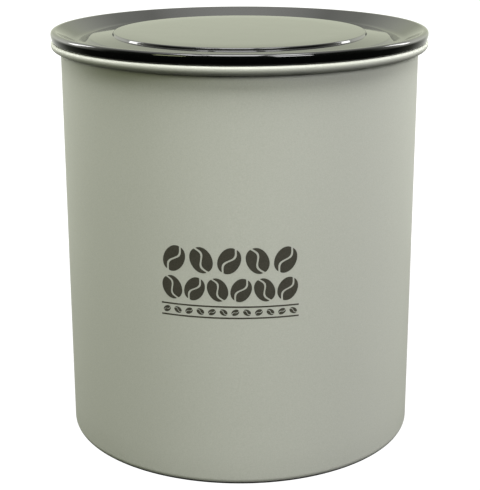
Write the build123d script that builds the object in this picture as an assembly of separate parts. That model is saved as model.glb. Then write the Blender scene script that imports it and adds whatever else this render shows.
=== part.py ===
from build123d import *
import os
from math import cos, pi, radians, sin, tan

# A coffee tin with a press-down inner lid. Millimetres, +Z up, the can's axis on Z and its
# base on Z = 0. The front of the can, where its print is, faces -Y.

# Can: a drawn steel cup with an outward curl at its mouth
CAN_R = 84.5            # outside of the wall
SHEET = 0.6             # thickness of the steel
BORE_R = CAN_R - SHEET
BASE_CORNER = 3.5       # radius between wall and base
PANEL_R = 64.0          # raised panel in the middle of the base
PANEL_RISE = 1.2
PANEL_SLOPE = 2.5       # radial width of the panel's sloping edge
CURL_TOP = 192.4
CURL_R = 89.0           # upright outer side of the curl
CURL_SIDE = 3.0         # from the curl's top down to the corner where it turns in
CURL_SHOULDER = 1.3     # rounding of the curl's outer top edge
CURL_HEEL = 2.2         # rounding where it turns in
CURL_TURN = radians(20) # slope of the turned-in edge below level
CURL_TUCK = 0.7         # the sheet's edge stops this far from the wall

# Outer lid: a gloss moulding with a moat between its crest and its plateau
LID_R = 89.0
LID_SEAT = CURL_TOP + 0.3
LID_CREST = 197.5
LID_WALL = 2.0
SKIRT_START = 2.2       # below the crest, where the skirt starts to taper
SKIRT_R = 88.3          # outside of the skirt at its lower edge
PLATEAU_R = 59.6        # corner of the plateau before rounding
PLATEAU_TOP = 196.0
STEP_DROP = 1.2         # from the plateau down to the shelf round it
SHELF_R = 71.0          # outer end of the shelf
SHELF_DROP = 0.8        # how far the shelf falls towards its outer end
MOAT_FLOOR = 192.0
MOAT_IN_R = 73.8
MOAT_OUT_R = 77.5
CREST_R = 86.6          # where the moat's outer slope meets the crest
PLUG_R = BORE_R - 0.3   # ring that goes into the can's mouth
PLUG_DEPTH = 8.6

# Inner lid: a plate that slides in the can, shown with the tin about two thirds full
PLATE_Z = 121.0         # top of the plate
PLATE_T = 2.5
RING_R = 81.0           # guide ring at the plate's edge
RING_T = 4.0
RING_ABOVE = 8.0
RING_BELOW = 10.0
GROOVE_DEPTH = 2.0
GROOVE_HALF = 3.0
LIP_R = BORE_R - 0.3    # tips of the wiper seal's lips
RIB_COUNT = 8
RIB_T = 1.6
RIB_H = 5.0

# Air valve in the middle of the inner lid; heights are above the plate's top
PORT_R = 9.0
SEAT_H = 1.5
HOUSING_R = 18.5
HOUSING_T = 2.5
HOUSING_H = 12.0
CAP_R = 20.6
CAP_T = 2.5
CAP_SKIRT = 5.0
CAP_TOP = HOUSING_H + CAP_T
GUIDE_R = 6.2
GUIDE_BOTTOM = 8.8
VENT_R = 1.7
VENT_CIRCLE = 12.0
GRATE_R = 15.0
GRATE_T = 1.6
GRATE_DROP = 8.0        # underside of the grate below the plate's top
DISC_R = 13.0
DISC_T = 2.0
DISC_BOTTOM = SEAT_H + 0.3
FLANGE_T = 2.0
FLANGE_BOTTOM = DISC_BOTTOM + DISC_T
FLANGE_TOP = FLANGE_BOTTOM + FLANGE_T
SPIGOT_R = 3.0
STEM_R = 4.0
STEM_HALF_T = 2.5       # half thickness between the stem's two flats
RUNNING = 0.08          # radial clearance where one piece slides or turns in another
SNUG = 0.02             # clearance of a press fit

# Handle: a folding finger loop whose heel is a cam that lifts the valve stem
PIN_R = 1.5
CAM_LOW = 4.0           # from the pin down to the cap with the handle folded flat
CAM_LIFT = 2.5          # how far the stem rises as the handle turns upright
CAM_GAP = 0.3
PIN_H = CAP_TOP + CAM_GAP + CAM_LOW
CHEEK_IN = STEM_HALF_T + 0.3
CHEEK_OUT = 6.8
HANDLE_T = 5.0
HANDLE_END = 44.0       # from the pin to the end of the loop
LOOP_HALF_W = 18.0
LOOP_START = 9.0
FINGER_HALF_W = 12.0
FINGER_START = 15.0
FINGER_END = 38.0

# Spring between the stem's flange and the cap
WIRE_R = 0.45
SPRING_R = 9.0
SPRING_TURNS = 2.5


def lathe(corners):
    """Turn an outline about Z; each corner is (radius, height, rounding)."""
    points = [(radius, height) for radius, height, _ in corners]
    roundings = [rounding for _, _, rounding in corners]
    outline = FilletPolyline(*points, radius=roundings, close=True)
    return revolve(make_face(Plane.XZ * outline), Axis.Z)


def upright_cylinder(radius, bottom, top):
    """A cylinder about Z between two heights."""
    return Pos(0, 0, bottom) * extrude(Circle(radius), top - bottom)


def cross_cylinder(radius, half_length):
    """A cylinder about X, centred on the origin."""
    return Rot(0, 90, 0) * Cylinder(radius, 2 * half_length)


def canister_body():
    """The can: base panel, wall and curl, all of one sheet."""
    slope = (PANEL_SLOPE**2 + PANEL_RISE**2) ** 0.5
    shift = SHEET * PANEL_RISE / (slope + PANEL_SLOPE)
    curl_low = CURL_TOP - CURL_SIDE
    edge_r = CAN_R + CURL_TUCK
    edge_z = curl_low - (CURL_R - edge_r) * tan(CURL_TURN)
    inside_r = CURL_R - SHEET
    inside_z = curl_low + SHEET * (1 - sin(CURL_TURN)) / cos(CURL_TURN)
    return lathe(
        [
            (0, PANEL_RISE, 0),
            (PANEL_R, PANEL_RISE, 1.5),
            (PANEL_R + PANEL_SLOPE, 0, 1.5),
            (CAN_R, 0, BASE_CORNER),
            (CAN_R, CURL_TOP - SHEET, SHEET),
            (inside_r, CURL_TOP - SHEET, CURL_SHOULDER - SHEET),
            (inside_r, inside_z, CURL_HEEL - SHEET),
            (edge_r - SHEET * sin(CURL_TURN), edge_z + SHEET * cos(CURL_TURN), 0),
            (edge_r, edge_z, 0),
            (CURL_R, curl_low, CURL_HEEL),
            (CURL_R, CURL_TOP, CURL_SHOULDER),
            (BORE_R, CURL_TOP, 2 * SHEET),
            (BORE_R, SHEET, BASE_CORNER - SHEET),
            (PANEL_R + PANEL_SLOPE + shift, SHEET, 1.5),
            (PANEL_R + shift, PANEL_RISE + SHEET, 1.5),
            (0, PANEL_RISE + SHEET, 0),
        ]
    )


def outer_lid():
    """The push-fit lid, with a hollow skirt over the curl and a plug ring in the mouth."""
    shelf_top = PLATEAU_TOP - STEP_DROP
    step_r = PLATEAU_R + STEP_DROP * tan(radians(28))
    under_moat = MOAT_FLOOR - LID_WALL
    plug_bottom = LID_SEAT - PLUG_DEPTH
    return lathe(
        [
            (0, PLATEAU_TOP, 0),
            (PLATEAU_R, PLATEAU_TOP, 0.8),
            (step_r, shelf_top, 0.2),
            (SHELF_R, shelf_top - SHELF_DROP, 2.5),
            (MOAT_IN_R, MOAT_FLOOR, 3.0),
            (MOAT_OUT_R, MOAT_FLOOR, 8.0),
            (CREST_R, LID_CREST, 1.4),
            (LID_R, LID_CREST, 1.6),
            (LID_R, LID_CREST - SKIRT_START, 0),
            (SKIRT_R, LID_SEAT, 0.5),
            (SKIRT_R - LID_WALL, LID_SEAT, 0.3),
            (SKIRT_R - LID_WALL, LID_SEAT + 2.2, 0.4),
            (PLUG_R + 1.8, LID_SEAT + 1.6, 0.4),
            (PLUG_R + 1.8, LID_SEAT, 0.3),
            (PLUG_R, LID_SEAT, 0),
            (PLUG_R, plug_bottom, 0.8),
            (PLUG_R - LID_WALL, plug_bottom, 0.8),
            (PLUG_R - LID_WALL, under_moat, 1.0),
            (MOAT_IN_R - 0.5, under_moat, 2.0),
            (SHELF_R - 0.5, shelf_top - SHELF_DROP - LID_WALL, 2.0),
            (step_r - 1.0, shelf_top - LID_WALL, 0),
            (PLATEAU_R - 1.0, PLATEAU_TOP - LID_WALL, 0),
            (0, PLATEAU_TOP - LID_WALL, 0),
        ]
    )


def inner_lid_plate():
    """The sliding plate: guide ring with a seal groove, ribs, valve housing and port."""
    turned = lathe(
        [
            (PORT_R, -PLATE_T, 0),
            (GRATE_R, -PLATE_T, 0),
            (GRATE_R, -GRATE_DROP, 0.3),
            (GRATE_R + 2, -GRATE_DROP, 0.6),
            (GRATE_R + 2, -PLATE_T, 1.0),
            (RING_R - RING_T, -PLATE_T, 1.5),
            (RING_R - RING_T, -RING_BELOW, 0.8),
            (RING_R, -RING_BELOW, 1.5),
            (RING_R, -GROOVE_HALF, 0.3),
            (RING_R - GROOVE_DEPTH, -GROOVE_HALF, 0),
            (RING_R - GROOVE_DEPTH, GROOVE_HALF, 0),
            (RING_R, GROOVE_HALF, 0.3),
            (RING_R, RING_ABOVE, 1.5),
            (RING_R - RING_T, RING_ABOVE, 1.5),
            (RING_R - RING_T, 0, 1.5),
            (HOUSING_R, 0, 1.0),
            (HOUSING_R, HOUSING_H, 0.3),
            (HOUSING_R - HOUSING_T, HOUSING_H, 0.3),
            (HOUSING_R - HOUSING_T, 0, 0.5),
            (PORT_R + 2, 0, 0.3),
            (PORT_R + 2, SEAT_H, 0.6),
            (PORT_R, SEAT_H, 0.6),
        ]
    )
    rib_in = HOUSING_R - HOUSING_T / 2
    rib_out = RING_R - RING_T / 2
    rib = Pos((rib_in + rib_out) / 2, 0, RIB_H / 2) * Box(rib_out - rib_in, RIB_T, RIB_H)
    rib = fillet(rib.edges().filter_by(Axis.X).group_by(Axis.Z)[-1], 0.5)
    for number in range(RIB_COUNT):
        turned += Rot(0, 0, 360 / RIB_COUNT * (number + 0.5)) * rib
    return turned


def wiper_seal():
    """The silicone seal: a base in the groove and two lips that wipe the can's wall."""
    return lathe(
        [
            (RING_R - GROOVE_DEPTH + SNUG, -GROOVE_HALF + SNUG, 0),
            (RING_R, -GROOVE_HALF + SNUG, 0.4),
            (RING_R + 0.6, -GROOVE_HALF - 0.6, 0.6),
            (LIP_R - 0.2, -GROOVE_HALF - 2.6, 0.25),
            (LIP_R, -GROOVE_HALF - 1.9, 0.25),
            (RING_R + 1.2, -1.2, 1.0),
            (RING_R + 0.6, 0, 0.6),
            (RING_R + 1.2, 1.2, 1.0),
            (LIP_R, GROOVE_HALF + 1.9, 0.25),
            (LIP_R - 0.2, GROOVE_HALF + 2.6, 0.25),
            (RING_R + 0.6, GROOVE_HALF + 0.6, 0.6),
            (RING_R, GROOVE_HALF - SNUG, 0.4),
            (RING_R - GROOVE_DEPTH + SNUG, GROOVE_HALF - SNUG, 0),
        ]
    )


def double_d(radius, half_thickness, bottom, top):
    """An upright bar with round front and back and two flats across X."""
    slab = Pos(0, 0, (bottom + top) / 2) * Box(2 * half_thickness, 3 * radius, top - bottom)
    return upright_cylinder(radius, bottom, top) & slab


def valve_cap():
    """The cap over the valve chamber: guides the stem, holds the spring down, lets air by."""
    cap = lathe(
        [
            (0, GUIDE_BOTTOM, 0),
            (GUIDE_R, GUIDE_BOTTOM, 0.4),
            (GUIDE_R, HOUSING_H, 0.4),
            (HOUSING_R + SNUG, HOUSING_H, 0),
            (HOUSING_R + SNUG, HOUSING_H - CAP_SKIRT, 0.3),
            (CAP_R, HOUSING_H - CAP_SKIRT, 0.4),
            (CAP_R, CAP_TOP, 1.4),
            (0, CAP_TOP, 0),
        ]
    )
    cap -= double_d(STEM_R + RUNNING, STEM_HALF_T + RUNNING, GUIDE_BOTTOM - 1, CAP_TOP + 1)
    vents = PolarLocations(VENT_CIRCLE, 6, start_angle=30)
    return cap - vents * Cylinder(VENT_R, 4 * HOUSING_H)


def valve_grate():
    """A pierced disc under the port that keeps the coffee out of the valve."""
    disc = upright_cylinder(GRATE_R - SNUG, -GRATE_DROP, GRATE_T - GRATE_DROP)
    hole = Cylinder(1.5, 4 * GRATE_DROP)
    disc -= hole
    for ring in (1, 2):
        disc -= PolarLocations(4.8 * ring, 6 * ring) * hole
    return disc


def valve_disc():
    """The silicone washer that closes the port."""
    return lathe(
        [
            (SPIGOT_R + SNUG, DISC_BOTTOM, 0),
            (DISC_R, DISC_BOTTOM, 0.5),
            (DISC_R, FLANGE_BOTTOM, 0.5),
            (SPIGOT_R + SNUG, FLANGE_BOTTOM, 0),
        ]
    )


def valve_stem():
    """The stem: barb below the disc, flange on it, and an eye for the handle's pin."""
    lower = lathe(
        [
            (0, -1.4, 0),
            (2.0, -1.4, 0.4),
            (4.4, DISC_BOTTOM - 1.0, 0.3),
            (4.4, DISC_BOTTOM, 0),
            (SPIGOT_R, DISC_BOTTOM, 0),
            (SPIGOT_R, FLANGE_BOTTOM, 0),
            (DISC_R, FLANGE_BOTTOM, 0.4),
            (DISC_R, FLANGE_TOP, 0.4),
            (0, FLANGE_TOP, 0),
        ]
    )
    bar = double_d(STEM_R, STEM_HALF_T, FLANGE_TOP, PIN_H + STEM_R)
    rounded_top = Pos(0, 0, PIN_H) * cross_cylinder(STEM_R, STEM_R)
    below_pin = Pos(0, 0, PIN_H / 2) * Box(3 * STEM_R, 3 * STEM_R, PIN_H)
    bar &= rounded_top + below_pin
    return lower + bar - Pos(0, 0, PIN_H) * cross_cylinder(PIN_R + RUNNING, CHEEK_OUT)


def valve_spring():
    """The coil spring that closes the valve, with its ends on the flange and the cap."""
    rise = HOUSING_H - FLANGE_TOP - 2 * WIRE_R
    path = Helix(rise / SPRING_TURNS, rise, SPRING_R)
    wire = Plane(path @ 0, z_dir=path % 0) * Circle(WIRE_R)
    return Pos(0, 0, FLANGE_TOP + WIRE_R) * sweep(wire, path, is_frenet=True)


def cam_point(turn):
    """Point of the cam's face that meets the cap when the handle has turned this far."""
    rate = CAM_LIFT / (pi / 2)
    reach = CAM_LOW + rate * turn
    return (
        -reach * sin(turn) - rate * cos(turn),
        -reach * cos(turn) + rate * sin(turn),
    )


def cam_cheek(inner_x, outer_x):
    """One cheek of the handle's root, with the cam as its heel; the pin is at the origin."""
    face = [cam_point(radians(angle)) for angle in range(0, 91, 15)]
    start, end = face[0], face[-1]
    cam = Spline(*face, tangents=[(-1, 0), (0, 1)])
    rest = Polyline(
        end,
        (end[0], CAM_LOW - 1.4),
        (end[0] + 1.6, CAM_LOW - 0.4),
        (STEM_R, CAM_LOW - 0.4),
        (LOOP_START + 3, HANDLE_T / 2),
        (LOOP_START + 3, -HANDLE_T / 2),
        (STEM_R + 3.5, -HANDLE_T / 2),
        (STEM_R + 1.5, -CAM_LOW),
        start,
    )
    side = make_face(Plane.YZ * (cam + rest))
    return Pos(inner_x, 0, 0) * extrude(side, outer_x - inner_x, dir=(1, 0, 0))


def handle():
    """The finger loop with its two cam cheeks either side of the stem."""
    middle = (LOOP_START + HANDLE_END) / 2
    finger_middle = (FINGER_START + FINGER_END) / 2
    outside = Pos(0, middle) * RectangleRounded(
        2 * LOOP_HALF_W, HANDLE_END - LOOP_START, LOOP_HALF_W - 4
    )
    finger = Pos(0, finger_middle) * RectangleRounded(
        2 * FINGER_HALF_W, FINGER_END - FINGER_START, FINGER_HALF_W - 2.5
    )
    loop = Pos(0, 0, -HANDLE_T / 2) * extrude(outside - finger, HANDLE_T)
    loop = fillet(loop.edges().group_by(Axis.Z)[0] + loop.edges().group_by(Axis.Z)[-1], 1.2)
    grip = loop + cam_cheek(CHEEK_IN, CHEEK_OUT) + cam_cheek(-CHEEK_OUT, -CHEEK_IN)
    grip -= cross_cylinder(PIN_R + SNUG, 2 * CHEEK_OUT)
    return Pos(0, 0, PIN_H) * grip


def handle_pin():
    """The steel pin, fast in the handle's cheeks and free in the stem's eye."""
    pin = cross_cylinder(PIN_R, CHEEK_OUT - 0.3)
    return Pos(0, 0, PIN_H) * chamfer(pin.edges().filter_by(GeomType.CIRCLE), 0.3)


on_plate = Pos(0, 0, PLATE_Z)
pieces = {
    "canister_body": canister_body(),
    "outer_lid": outer_lid(),
    "inner_lid_plate": on_plate * inner_lid_plate(),
    "wiper_seal": on_plate * wiper_seal(),
    "valve_cap": on_plate * valve_cap(),
    "valve_grate": on_plate * valve_grate(),
    "valve_disc": on_plate * valve_disc(),
    "valve_stem": on_plate * valve_stem(),
    "valve_spring": on_plate * valve_spring(),
    "handle": on_plate * handle(),
    "handle_pin": on_plate * handle_pin(),
}

os.makedirs("parts", exist_ok=True)
for node, solid in pieces.items():
    export_step(solid, f"parts/{node}.step")
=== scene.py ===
import math

import bmesh
import bpy
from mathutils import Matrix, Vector


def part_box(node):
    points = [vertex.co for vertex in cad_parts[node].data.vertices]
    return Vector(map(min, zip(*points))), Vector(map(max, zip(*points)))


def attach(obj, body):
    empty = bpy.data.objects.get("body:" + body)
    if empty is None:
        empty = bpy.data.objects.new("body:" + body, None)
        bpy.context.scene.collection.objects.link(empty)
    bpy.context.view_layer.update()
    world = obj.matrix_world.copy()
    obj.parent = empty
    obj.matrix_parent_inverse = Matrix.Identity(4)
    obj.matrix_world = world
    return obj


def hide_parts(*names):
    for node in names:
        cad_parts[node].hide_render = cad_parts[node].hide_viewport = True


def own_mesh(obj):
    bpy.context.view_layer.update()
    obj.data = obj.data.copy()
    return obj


# Looks of a coffee tin: powder-coated can with a rolled curl, gloss black push-fit lid, and inside
# it a press-down inner lid with a wiper seal, valve and folding handle. Metres, +Z up, front -Y.

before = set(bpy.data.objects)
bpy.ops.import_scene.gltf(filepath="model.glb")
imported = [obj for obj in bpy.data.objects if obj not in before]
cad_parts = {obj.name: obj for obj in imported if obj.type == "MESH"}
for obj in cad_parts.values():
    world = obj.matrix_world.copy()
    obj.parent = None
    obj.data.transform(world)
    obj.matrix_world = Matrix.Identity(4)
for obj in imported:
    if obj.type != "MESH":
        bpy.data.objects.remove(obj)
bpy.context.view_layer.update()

MM = 0.001
SEGMENTS = 384          # round the large turned pieces
ARC_STEP = math.radians(7)
ON_AXIS = 0.001         # a radius below this, in millimetres, is on the axis
LONGEST_RUN = 12.0      # of a turned outline's straight pieces, in millimetres

# Can and lid, in millimetres; the overall sizes are read from the frame
SHEET = 0.6
BASE_CORNER = 3.5
PANEL_R = 64.0
PANEL_RISE = 1.2
PANEL_SLOPE = 2.5
CURL_SIDE = 3.0         # from the curl's top down to the corner where it turns in
CURL_SHOULDER = 1.3     # rounding of the curl's outer top edge
CURL_HEEL = 2.2         # rounding where it turns in
CURL_TURN = math.radians(20)  # slope of the turned-in edge below level
CURL_TUCK = 0.7         # the sheet's edge stops this far from the wall
CURL_OUT = 4.5          # from the wall to the curl's upright side
LID_WALL = 2.0
SKIRT_START = 2.2       # below the crest, where the skirt starts to taper
SKIRT_DRAFT = 0.7       # how much it tapers by its lower edge
LID_GAP = 0.3           # between the lid and the can, over the curl and round the plug
STEP_R = 59.6           # corner of the plateau before rounding
STEP_DROP = 1.2         # from the plateau to the shelf round it
STEP_LEAN = math.radians(28)  # of the step's face from upright
SHELF_R = 71.0          # outer end of the shelf
SHELF_DROP = 0.8        # how far the shelf falls towards its outer end
MOAT_FLOOR = -5.5       # this and the plateau are heights from the lid's crest
PLATEAU = -1.5
MOAT_IN_R = 73.8
MOAT_OUT_R = 77.5

# Print on the front of the can, in millimetres: two rows of coffee beans over a row of small
# ones between two ruled lines
PRINT_LEFT = -35.6      # along the wall from the front's centre
PRINT_RIGHT = 26.2
INK_T = 0.03
LARGE_ROW = (107.5, 12.2)  # height of the row's middle, length of its beans
MIDDLE_ROW = (94.2, 11.0)
SMALL_ROW = (83.9, 3.6)
RULE_T = 0.7
RULE_OFF = 2.6          # from the small row's middle to the ruled line above or below it
RULE_STEPS = 60
BEAN_STEPS = 24         # mesh steps along a bean
BEAN_ACROSS = 6         # mesh steps across each of its halves
BEAN_END = 0.985        # how far along its half length the crease runs
CREASE_SWAY = 0.16      # of the bean's width
CREASE_GAP = 0.075      # of the bean's length
LEAST_HALF = 0.02       # narrowest width of a half at the bean's tips

# Spring, in millimetres
SPRING_R = 9.0
SPRING_TURNS = 2.5
WIRE_R = 0.45
WIRE_SIDES = 12
STEPS_PER_TURN = 64

# Studio, in metres and degrees
CAMERA_LENS = 95.11
CAMERA_PLACE = (0, -0.6181, 0.2753)
CAMERA_TURN = (90 - 16.735, 0.129, -0.038)
BACKDROP = 1.2          # brightness of the surroundings as the camera sees them
FLOOR_GLOW = 1.1        # and of the floor
FLOOR_R = 0.33
FLOOR_SIDES = 96
# Light by direction: (part of the direction along Y or Z, colour)
WALLS = (
    (-0.5, (0.01, 0.011, 0.01)),
    (-0.1, (0.08, 0.085, 0.07)),
    (0.15, (0.90, 0.92, 0.82)),
    (0.35, (2.50, 2.54, 2.30)),
    (0.60, (2.90, 2.94, 2.70)),
    (0.96, (0.88, 0.92, 0.73)),
)
GROUND = (
    (-0.5, (0.01, 0.011, 0.01)),
    (0.3, (0.03, 0.032, 0.028)),
    (0.6, (0.16, 0.17, 0.14)),
    (0.95, (0.90, 0.92, 0.85)),
)
HORIZON = (
    (-0.2, (0, 0, 0)),
    (0.05, (1, 1, 1)),
    (0.35, (1, 1, 1)),
    (0.8, (0.22, 0.22, 0.22)),
)
ZENITH = (
    (0.68, (0, 0, 0)),
    (0.80, (0.6, 0.6, 0.58)),
    (0.88, (1.6, 1.6, 1.55)),
    (0.98, (2.9, 2.9, 2.8)),
)
# Lights: (name, place, aim, size, power, colour)
ABOVE = (-0.43, 1.3)    # the overhead panels' place along Y and Z
LIGHTS = (
    ("overhead_0", (-0.435, *ABOVE), (-0.435, -0.43, 0.15), (0.19, 0.6), 4.7, (1, 1, 1)),
    ("overhead_1", (-0.045, *ABOVE), (-0.045, -0.43, 0.15), (0.45, 0.6), 11.3, (1, 1, 1)),
    ("overhead_2", (0.435, *ABOVE), (0.435, -0.43, 0.15), (0.31, 0.6), 7.7, (1, 1, 1)),
    ("rim_left", (-0.5, 0.2, 0.42), (0, 0, 0.14), (0.1, 0.25), 1.0, (1, 1, 1)),
    ("rim_right", (0.5, 0.2, 0.42), (0, 0, 0.14), (0.1, 0.25), 1.0, (1, 1, 1)),
    ("front_left", (-1.2, -1.3, 1.05), (0, 0, 0.1), (0.6, 0.6), 7.2, (0.92, 1.0, 0.6)),
    ("front_right", (0.9, -1.4, 1.05), (0, 0, 0.1), (0.7, 0.6), 19, (1, 1, 1)),
)


def corner_size(node):
    """Outer radius, lowest and highest point of a CAD node, in millimetres."""
    low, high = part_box(node)
    return (high.x - low.x) / 2 / MM, low.z / MM, high.z / MM


CURL_R, _, CURL_TOP = corner_size("canister_body")
LID_R, PLUG_BOTTOM, LID_CREST = corner_size("outer_lid")
WALL_R = CURL_R - CURL_OUT
BORE_R = WALL_R - SHEET


# ---------------------------------------------------------------- mesh helpers


def rounded(corners):
    """Points of an outline whose corners are (radius, height, rounding), in millimetres."""
    points = []
    for index, (r, z, rounding) in enumerate(corners):
        here = Vector((r, z))
        if not rounding:
            points.append(here)
            continue
        back = (Vector(corners[index - 1][:2]) - here).normalized()
        onward = (Vector(corners[(index + 1) % len(corners)][:2]) - here).normalized()
        half = back.angle(onward) / 2
        centre = here + (back + onward).normalized() * rounding / math.sin(half)
        first = here + back * rounding / math.tan(half) - centre
        sweep = math.pi - 2 * half
        turn = math.copysign(sweep, back.x * onward.y - back.y * onward.x)
        steps = max(2, math.ceil(sweep / ARC_STEP))
        for step in range(steps + 1):
            angle = -turn * step / steps
            cos, sin = math.cos(angle), math.sin(angle)
            arm = Vector((first.x * cos - first.y * sin, first.x * sin + first.y * cos))
            points.append(centre + arm)
    return points


def subdivided(points):
    """The closed outline with its long runs cut into equal parts."""
    out = []
    for index, point in enumerate(points):
        onward = points[(index + 1) % len(points)]
        parts = max(1, math.ceil((onward - point).length / LONGEST_RUN))
        out += [point.lerp(onward, part / parts) for part in range(parts)]
    return out


def make_object(name, bm):
    """A new object in the scene from a finished bmesh."""
    mesh = bpy.data.meshes.new(name)
    bmesh.ops.recalc_face_normals(bm, faces=bm.faces)
    bm.to_mesh(mesh)
    bm.free()
    piece = bpy.data.objects.new(name, mesh)
    bpy.context.scene.collection.objects.link(piece)
    return piece


def on_ring(radius, angle, height):
    """A point in metres from a radius and a height in millimetres and an angle about Z."""
    return (radius * math.cos(angle) * MM, radius * math.sin(angle) * MM, height * MM)


def lathe(name, corners):
    """A closed mesh turned about Z; the outline starts and ends on the axis, at two poles."""
    outline = subdivided(rounded(corners))
    poles = (outline[0], Vector(corners[-1][:2]))
    outline = [point for point in outline if point.x > ON_AXIS or point in poles]
    bm = bmesh.new()
    rings = []
    for point in outline:
        if point.x < ON_AXIS:
            rings.append([bm.verts.new((0, 0, point.y * MM))])
            continue
        ring = []
        for number in range(SEGMENTS):
            ring.append(bm.verts.new(on_ring(point.x, 2 * math.pi * number / SEGMENTS, point.y)))
        rings.append(ring)
    for index, ring in enumerate(rings):
        onward = rings[(index + 1) % len(rings)]
        if len(ring) == 1 and len(onward) == 1:
            continue
        for number in range(SEGMENTS):
            corner = [ring[number % len(ring)], ring[(number + 1) % len(ring)]]
            corner += [onward[(number + 1) % len(onward)], onward[number % len(onward)]]
            bm.faces.new(list(dict.fromkeys(corner)))
    piece = make_object(name, bm)
    piece.data.shade_smooth()
    return piece


# ---------------------------------------------------------------- materials


class Nodes:
    """A short way to build a material's nodes round its Principled shader."""

    def __init__(self, name):
        self.material = bpy.data.materials.new(name)
        self.material.use_nodes = True
        self.tree = self.material.node_tree
        self.shader = self.tree.nodes["Principled BSDF"]
        self.place = self.tree.nodes.new("ShaderNodeTexCoord").outputs["Object"]

    def set(self, **values):
        """Constant values of the shader, with _ for each space in a socket's name."""
        for key, value in values.items():
            self.shader.inputs[key.replace("_", " ")].default_value = value

    def link(self, output, socket):
        """Join two sockets."""
        self.tree.links.new(output, socket)

    def noise(self, scale, detail, stretch=(1, 1, 1)):
        """Noise in object space, from 0 to 1."""
        mapping = self.tree.nodes.new("ShaderNodeMapping")
        mapping.inputs["Scale"].default_value = stretch
        self.link(self.place, mapping.inputs["Vector"])
        noise = self.tree.nodes.new("ShaderNodeTexNoise")
        noise.inputs["Scale"].default_value = scale
        noise.inputs["Detail"].default_value = detail
        self.link(mapping.outputs["Vector"], noise.inputs["Vector"])
        return noise.outputs["Fac"]

    def ramp(self, value, low, high, colour_low, colour_high):
        """A colour that runs from one to the other as the value goes from low to high."""
        ramp = self.tree.nodes.new("ShaderNodeValToRGB")
        ramp.color_ramp.elements[0].position = low
        ramp.color_ramp.elements[1].position = high
        ramp.color_ramp.elements[0].color = colour_low
        ramp.color_ramp.elements[1].color = colour_high
        self.link(value, ramp.inputs["Fac"])
        return ramp.outputs["Color"]

    def spread(self, value, low, high):
        """A number that runs from low to high over the middle of a noise's values."""
        node = self.tree.nodes.new("ShaderNodeMapRange")
        node.inputs["From Min"].default_value = 0.3
        node.inputs["From Max"].default_value = 0.7
        node.inputs["To Min"].default_value = low
        node.inputs["To Max"].default_value = high
        self.link(value, node.inputs["Value"])
        return node.outputs["Result"]

    def bump(self, *layers):
        """Layers are (height output, distance in metres, strength), the first one on top."""
        normal = None
        for height, distance, strength in layers:
            node = self.tree.nodes.new("ShaderNodeBump")
            node.inputs["Distance"].default_value = distance
            node.inputs["Strength"].default_value = strength
            self.link(height, node.inputs["Height"])
            if normal is not None:
                self.link(normal, node.inputs["Normal"])
            normal = node.outputs["Normal"]
        self.link(normal, self.shader.inputs["Normal"])


def powder_coat():
    """Matte warm grey coat with the fine pimpled grain of baked powder."""
    n = Nodes("powder_coat")
    grain = n.noise(1900, 3.0)
    cloud = n.noise(26, 2.0)
    colour = n.ramp(grain, 0.3, 0.7, (0.415, 0.425, 0.375, 1), (0.465, 0.475, 0.425, 1))
    n.link(colour, n.shader.inputs["Base Color"])
    n.link(n.spread(cloud, 0.5, 0.58), n.shader.inputs["Roughness"])
    n.set(IOR=1.48, Specular_IOR_Level=0.5)
    n.bump((grain, 0.00004, 0.55), (cloud, 0.0004, 0.15))
    return n.material


def brushed_steel():
    """Bare drawn steel, brushed round the can."""
    n = Nodes("bare_steel")
    lines = n.noise(1.0, 4.0, stretch=(14, 14, 2600))
    blotch = n.noise(40, 2.0)
    colour = n.ramp(lines, 0.25, 0.75, (0.50, 0.50, 0.49, 1), (0.66, 0.66, 0.645, 1))
    n.link(colour, n.shader.inputs["Base Color"])
    n.link(n.spread(blotch, 0.26, 0.36), n.shader.inputs["Roughness"])
    n.set(Metallic=1.0, Anisotropic=0.5)
    n.bump((lines, 0.00002, 0.35))
    return n.material


def gloss_black():
    """Polished black moulding, with the slight waviness of moulded plastic."""
    n = Nodes("gloss_black")
    wave = n.noise(70, 1.0)
    dust = n.noise(1500, 2.0)
    colour = n.ramp(dust, 0.45, 0.8, (0.0012, 0.0014, 0.0012, 1), (0.003, 0.0033, 0.003, 1))
    n.link(colour, n.shader.inputs["Base Color"])
    n.link(n.spread(dust, 0.05, 0.09), n.shader.inputs["Roughness"])
    n.set(IOR=1.5)
    n.bump((wave, 0.0006, 0.05))
    return n.material


def matte_plastic(name, low, high, roughness):
    """Moulded plastic with a fine spark-eroded texture."""
    n = Nodes(name)
    pits = n.noise(1700, 3.0)
    cloud = n.noise(45, 2.0)
    n.link(n.ramp(cloud, 0.3, 0.7, low, high), n.shader.inputs["Base Color"])
    n.link(n.spread(pits, roughness - 0.05, roughness + 0.07), n.shader.inputs["Roughness"])
    n.set(IOR=1.5)
    n.bump((pits, 0.00004, 0.35))
    return n.material


def silicone(name, low, high):
    """Soft translucent grey silicone with a dusty bloom."""
    n = Nodes(name)
    bloom = n.noise(160, 4.0)
    fine = n.noise(2200, 2.0)
    n.link(n.ramp(bloom, 0.3, 0.7, low, high), n.shader.inputs["Base Color"])
    n.link(n.spread(bloom, 0.42, 0.55), n.shader.inputs["Roughness"])
    n.set(IOR=1.41, Subsurface_Weight=0.25, Subsurface_Scale=0.002)
    n.set(Sheen_Weight=0.15, Sheen_Roughness=0.4)
    n.bump((fine, 0.00003, 0.3))
    return n.material


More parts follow.
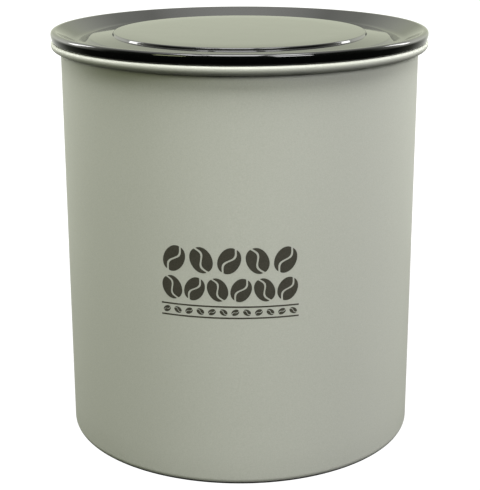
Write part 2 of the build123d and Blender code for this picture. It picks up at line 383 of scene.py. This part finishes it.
def drawn_wire(name, roughness):
    """Bright steel with fine drawing lines."""
    n = Nodes(name)
    lines = n.noise(900, 3.0, stretch=(0.2, 1, 1))
    colour = n.ramp(lines, 0.3, 0.7, (0.5, 0.5, 0.49, 1), (0.68, 0.68, 0.67, 1))
    n.link(colour, n.shader.inputs["Base Color"])
    n.link(n.spread(lines, roughness - 0.06, roughness + 0.08), n.shader.inputs["Roughness"])
    n.set(Metallic=1.0)
    n.bump((lines, 0.00002, 0.3))
    return n.material


def print_ink():
    """Pad-printed dark brown-grey ink, a little thin where the coat's grain shows through."""
    n = Nodes("print_ink")
    grain = n.noise(1900, 3.0)
    colour = n.ramp(grain, 0.25, 0.75, (0.030, 0.028, 0.020, 1), (0.058, 0.055, 0.041, 1))
    n.link(colour, n.shader.inputs["Base Color"])
    n.link(n.spread(grain, 0.45, 0.6), n.shader.inputs["Roughness"])
    n.set(IOR=1.48)
    n.bump((grain, 0.00004, 0.4))
    return n.material


COAT = powder_coat()
STEEL = brushed_steel()
BLACK = gloss_black()
INK = print_ink()


# ---------------------------------------------------------------- can and outer lid


def can_shell():
    """The can, coated outside and bare inside, in place of its CAD node."""
    slope = math.hypot(PANEL_SLOPE, PANEL_RISE)
    shift = SHEET * PANEL_RISE / (slope + PANEL_SLOPE)
    curl_low = CURL_TOP - CURL_SIDE
    edge_r = WALL_R + CURL_TUCK
    edge_z = curl_low - (CURL_R - edge_r) * math.tan(CURL_TURN)
    inside_r = CURL_R - SHEET
    inside_z = curl_low + SHEET * (1 - math.sin(CURL_TURN)) / math.cos(CURL_TURN)
    corners = [
        (0, PANEL_RISE, 0),
        (PANEL_R, PANEL_RISE, 1.5),
        (PANEL_R + PANEL_SLOPE, 0, 1.5),
        (WALL_R, 0, BASE_CORNER),
        (WALL_R, CURL_TOP - SHEET, SHEET),
        (inside_r, CURL_TOP - SHEET, CURL_SHOULDER - SHEET),
        (inside_r, inside_z, CURL_HEEL - SHEET),
        (edge_r - SHEET * math.sin(CURL_TURN), edge_z + SHEET * math.cos(CURL_TURN), 0),
        (edge_r, edge_z, 0),
        (CURL_R, curl_low, CURL_HEEL),
        (CURL_R, CURL_TOP, CURL_SHOULDER),
        (BORE_R, CURL_TOP, 2 * SHEET),
        (BORE_R, SHEET, BASE_CORNER - SHEET),
        (PANEL_R + PANEL_SLOPE + shift, SHEET, 1.5),
        (PANEL_R + shift, PANEL_RISE + SHEET, 1.5),
        (0, PANEL_RISE + SHEET, 0),
    ]
    piece = lathe("can_shell", corners)
    piece.data.materials.append(COAT)
    piece.data.materials.append(STEEL)
    for face in piece.data.polygons:
        radius = math.hypot(face.center.x, face.center.y) / MM
        height = face.center.z / MM
        bare_from = SHEET * 0.9 if radius > PANEL_R else PANEL_RISE + SHEET / 2
        if radius < BORE_R + SHEET / 3 and bare_from < height < CURL_TOP - SHEET:
            face.material_index = 1
    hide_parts("canister_body")
    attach(piece, "canister")


def lid_shell():
    """The gloss lid, in place of its CAD node."""
    plug_r = BORE_R - LID_GAP
    seat = CURL_TOP + LID_GAP
    floor = LID_CREST + MOAT_FLOOR
    plateau = LID_CREST + PLATEAU
    shelf = plateau - STEP_DROP
    step_r = STEP_R + STEP_DROP * math.tan(STEP_LEAN)
    corners = [
        (0, plateau, 0),
        (STEP_R, plateau, 0.8),
        (step_r, shelf, 0.2),
        (SHELF_R, shelf - SHELF_DROP, 2.5),
        (MOAT_IN_R, floor, 3.0),
        (MOAT_OUT_R, floor, 8.0),
        (LID_R - 2.4, LID_CREST, 1.4),
        (LID_R, LID_CREST, 1.6),
        (LID_R, LID_CREST - SKIRT_START, 0),
        (LID_R - SKIRT_DRAFT, seat, 0.5),
        (LID_R - SKIRT_DRAFT - LID_WALL, seat, 0.3),
        (LID_R - SKIRT_DRAFT - LID_WALL, seat + 2.2, 0.4),
        (plug_r + 1.8, seat + 1.6, 0.4),
        (plug_r + 1.8, seat, 0.3),
        (plug_r, seat, 0),
        (plug_r, PLUG_BOTTOM, 0.8),
        (plug_r - LID_WALL, PLUG_BOTTOM, 0.8),
        (plug_r - LID_WALL, floor - LID_WALL, 1.0),
        (MOAT_IN_R - 0.5, floor - LID_WALL, 2.0),
        (SHELF_R - 0.5, shelf - SHELF_DROP - LID_WALL, 2.0),
        (step_r - 1.0, shelf - LID_WALL, 0),
        (STEP_R - 1.0, plateau - LID_WALL, 0),
        (0, plateau - LID_WALL, 0),
    ]
    piece = lathe("lid_shell", corners)
    piece.data.materials.append(BLACK)
    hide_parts("outer_lid")
    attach(piece, "outer_lid")


# ---------------------------------------------------------------- print


def on_wall(along, height, lift):
    """The point of the can's wall at a distance along it from the front's centre."""
    angle = along / WALL_R
    reach = (WALL_R + lift) * MM
    return (reach * math.sin(angle), -reach * math.cos(angle), height * MM)


def ink_plate(bm, rows):
    """A closed thin plate of ink on the wall from rows of (along, height) points."""
    faces = []
    for lift in (INK_T, -INK_T):
        faces.append([[bm.verts.new(on_wall(*point, lift)) for point in row] for row in rows])
    front, back = faces
    last_row, last = len(rows) - 1, len(rows[0]) - 1
    for i in range(last_row):
        for j in range(last):
            for side in (front, back):
                bm.faces.new((side[i][j], side[i][j + 1], side[i + 1][j + 1], side[i + 1][j]))
    border = [(0, j) for j in range(last)] + [(i, last) for i in range(last_row)]
    border += [(last_row, j) for j in range(last, 0, -1)] + [(i, 0) for i in range(last_row, 0, -1)]
    for number, (i, j) in enumerate(border):
        p, q = border[(number + 1) % len(border)]
        bm.faces.new((front[i][j], front[p][q], back[p][q], back[i][j]))


def bean(bm, centre, length, width, tilt, gap):
    """A coffee bean: two halves either side of an S-shaped crease."""
    cos, sin = math.cos(tilt), math.sin(tilt)
    for side in (-1, 1):
        rows = []
        for step in range(BEAN_STEPS + 1):
            t = math.cos(math.pi * step / BEAN_STEPS) * BEAN_END
            edge = side * width / 2 * math.sqrt(1 - t * t) ** 0.9
            sway = CREASE_SWAY * width * math.sin(math.pi * t) * (1 - 0.4 * t * t)
            crease = sway + side * gap / 2
            if side * (edge - crease) < LEAST_HALF:
                crease = edge - side * LEAST_HALF
            row = []
            for number in range(BEAN_ACROSS + 1):
                x = crease + (edge - crease) * number / BEAN_ACROSS
                y = t * length / 2
                row.append((centre[0] + x * cos - y * sin, centre[1] + x * sin + y * cos))
            rows.append(row)
        ink_plate(bm, rows)


def bean_row(name, row, count, lean, slim):
    """A row of beans, leaning by turns, that fills the print's width."""
    height, length = row
    pitch = (PRINT_RIGHT - PRINT_LEFT) / count
    bm = bmesh.new()
    for number in range(count):
        along = PRINT_LEFT + pitch * (number + 0.5)
        tilt = math.radians(lean if number % 2 else -lean)
        bean(bm, (along, height), length, length * slim, tilt, length * CREASE_GAP)
    printed(name, bm)


def rule(name, height):
    """A straight printed line across the print's width."""
    pitch = (PRINT_RIGHT - PRINT_LEFT) / RULE_STEPS
    rows = []
    for edge in (-RULE_T / 2, RULE_T / 2):
        rows.append([(PRINT_LEFT + pitch * step, height + edge) for step in range(RULE_STEPS + 1)])
    bm = bmesh.new()
    ink_plate(bm, rows)
    printed(name, bm)


def printed(name, bm):
    """A finished print mesh in its ink, riding on the can."""
    piece = make_object(name, bm)
    piece.data.materials.append(INK)
    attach(piece, "canister")


def print_block():
    """Two rows of beans, and a row of small ones between two ruled lines."""
    bean_row("print_beans_large", LARGE_ROW, 5, 28, 0.8)
    bean_row("print_beans_middle", MIDDLE_ROW, 6, -28, 0.8)
    bean_row("print_beans_small", SMALL_ROW, 12, 60, 0.75)
    rule("print_rule_upper", SMALL_ROW[0] + RULE_OFF)
    rule("print_rule_lower", SMALL_ROW[0] - RULE_OFF)


# ---------------------------------------------------------------- pieces kept from CAD


def dress(node, material):
    """Give a CAD node its material."""
    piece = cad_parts[node]
    piece.data.materials.clear()
    piece.data.materials.append(material)


def cad_pieces():
    """Materials of the inner lid, its seal, valve and handle, whose CAD shapes are kept."""
    dark, light = (0.018, 0.019, 0.018, 1), (0.026, 0.027, 0.026, 1)
    black = matte_plastic("inner_black", dark, light, 0.42)
    dark, light = (0.014, 0.015, 0.014, 1), (0.021, 0.022, 0.021, 1)
    satin = matte_plastic("handle_black", dark, light, 0.3)
    pale = matte_plastic("stem_grey", (0.42, 0.43, 0.41, 1), (0.48, 0.49, 0.47, 1), 0.35)
    rubber = silicone("seal_silicone", (0.40, 0.41, 0.40, 1), (0.47, 0.48, 0.47, 1))
    soft = silicone("valve_silicone", (0.50, 0.50, 0.48, 1), (0.57, 0.57, 0.55, 1))
    for node in ("inner_lid_plate", "valve_cap", "valve_grate"):
        dress(node, black)
    dress("handle", satin)
    dress("wiper_seal", rubber)
    dress("valve_disc", soft)
    dress("valve_stem", pale)
    dress("handle_pin", drawn_wire("pin_steel", 0.22))


def spring():
    """The coil spring as a swept wire with closed ends."""
    low, high = (edge.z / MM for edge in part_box("valve_spring"))
    steps = round(STEPS_PER_TURN * SPRING_TURNS)
    bm = bmesh.new()
    rings = []
    for step in range(steps + 1):
        share = step / steps
        angle = 2 * math.pi * SPRING_TURNS * share
        height = low + WIRE_R + (high - low - 2 * WIRE_R) * share
        ring = []
        for number in range(WIRE_SIDES):
            turn = 2 * math.pi * number / WIRE_SIDES
            reach = SPRING_R + WIRE_R * math.cos(turn)
            ring.append(bm.verts.new(on_ring(reach, angle, height + WIRE_R * math.sin(turn))))
        rings.append(ring)
    for ring, onward in zip(rings, rings[1:]):
        for number in range(WIRE_SIDES):
            after = (number + 1) % WIRE_SIDES
            bm.faces.new((ring[number], ring[after], onward[after], onward[number]))
    bm.faces.new(rings[0])
    bm.faces.new(rings[-1])
    piece = make_object("spring_wire", bm)
    piece.data.shade_smooth()
    piece.data.materials.append(drawn_wire("spring_steel", 0.25))
    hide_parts("valve_spring")
    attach(piece, "inner_lid")
    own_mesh(piece)


# ---------------------------------------------------------------- studio


def camera():
    """A long lens a little above the lid, looking down at the front of the can."""
    data = bpy.data.cameras.new("camera")
    data.lens = CAMERA_LENS
    data.sensor_width = 36
    piece = bpy.data.objects.new("camera", data)
    piece.location = CAMERA_PLACE
    piece.rotation_euler = [math.radians(turn) for turn in CAMERA_TURN]
    bpy.context.scene.collection.objects.link(piece)
    bpy.context.scene.camera = piece


def softbox(name, place, aim, size, power, colour):
    """A rectangular area light that faces a point."""
    data = bpy.data.lights.new(name, "AREA")
    data.shape = "RECTANGLE"
    data.size, data.size_y = size
    data.energy = power
    data.color = colour
    piece = bpy.data.objects.new(name, data)
    piece.location = place
    piece.rotation_euler = (Vector(aim) - Vector(place)).to_track_quat("-Z", "Y").to_euler()
    bpy.context.scene.collection.objects.link(piece)


def sky_ramp(tree, value, stops):
    """A colour ramp over a direction's -1 to 1 part; stops are (part, colour)."""
    shift = tree.nodes.new("ShaderNodeMapRange")
    shift.inputs["From Min"].default_value = -1
    tree.links.new(value, shift.inputs["Value"])
    ramp = tree.nodes.new("ShaderNodeValToRGB")
    points = ramp.color_ramp.elements
    points.remove(points[1])
    for number, (part, colour) in enumerate(stops):
        point = points.new((part + 1) / 2) if number else points[0]
        point.position = (part + 1) / 2
        point.color = (*colour, 1)
    tree.links.new(shift.outputs["Result"], ramp.inputs["Fac"])
    return ramp.outputs["Color"]


def surroundings():
    """White to the camera; as light, bright behind and beside the tin and dark in front."""
    world = bpy.data.worlds.new("studio")
    bpy.context.scene.world = world
    world.use_nodes = True
    tree = world.node_tree
    back = tree.nodes["Background"]
    way = tree.nodes.new("ShaderNodeTexCoord").outputs["Generated"]
    split = tree.nodes.new("ShaderNodeSeparateXYZ")
    tree.links.new(way, split.inputs[0])
    walls = sky_ramp(tree, split.outputs["Y"], WALLS)
    ground = sky_ramp(tree, split.outputs["Y"], GROUND)
    horizon = sky_ramp(tree, split.outputs["Z"], HORIZON)
    zenith = sky_ramp(tree, split.outputs["Z"], ZENITH)
    blend = tree.nodes.new("ShaderNodeMixRGB")
    tree.links.new(horizon, blend.inputs["Fac"])
    tree.links.new(ground, blend.inputs["Color1"])
    tree.links.new(walls, blend.inputs["Color2"])
    total = tree.nodes.new("ShaderNodeMixRGB")
    total.blend_type = "ADD"
    total.inputs["Fac"].default_value = 1
    tree.links.new(blend.outputs["Color"], total.inputs["Color1"])
    tree.links.new(zenith, total.inputs["Color2"])
    tree.links.new(total.outputs["Color"], back.inputs["Color"])
    white = tree.nodes.new("ShaderNodeBackground")
    white.inputs["Color"].default_value = (1, 1, 1, 1)
    white.inputs["Strength"].default_value = BACKDROP
    seen = tree.nodes.new("ShaderNodeLightPath").outputs["Is Camera Ray"]
    mix = tree.nodes.new("ShaderNodeMixShader")
    tree.links.new(seen, mix.inputs["Fac"])
    tree.links.new(back.outputs["Background"], mix.inputs[1])
    tree.links.new(white.outputs["Background"], mix.inputs[2])
    tree.links.new(mix.outputs["Shader"], tree.nodes["World Output"].inputs["Surface"])


def floor():
    """A pale plain floor: white to the camera, and it throws little light back on the tin."""
    bm = bmesh.new()
    bmesh.ops.create_circle(bm, cap_ends=True, radius=FLOOR_R, segments=FLOOR_SIDES)
    piece = make_object("floor", bm)
    piece.location.z = -0.0001
    n = Nodes("floor_paper")
    fibre = n.noise(300, 3.0)
    colour = n.ramp(fibre, 0.2, 0.8, (0.02, 0.02, 0.02, 1), (0.03, 0.03, 0.03, 1))
    n.link(colour, n.shader.inputs["Base Color"])
    n.set(Roughness=0.9, Specular_IOR_Level=0.0)
    pale = n.tree.nodes.new("ShaderNodeEmission")
    pale.inputs["Strength"].default_value = FLOOR_GLOW
    seen = n.tree.nodes.new("ShaderNodeLightPath").outputs["Is Camera Ray"]
    mix = n.tree.nodes.new("ShaderNodeMixShader")
    n.link(seen, mix.inputs["Fac"])
    n.link(n.shader.outputs["BSDF"], mix.inputs[1])
    n.link(pale.outputs["Emission"], mix.inputs[2])
    n.link(mix.outputs["Shader"], n.tree.nodes["Material Output"].inputs["Surface"])
    piece.data.materials.append(n.material)


def studio():
    """Camera, surroundings, floor and lights."""
    camera()
    surroundings()
    floor()
    for light in LIGHTS:
        softbox(*light)
    bpy.context.scene.view_settings.view_transform = "Standard"


can_shell()
lid_shell()
print_block()
cad_pieces()
spring()
studio()
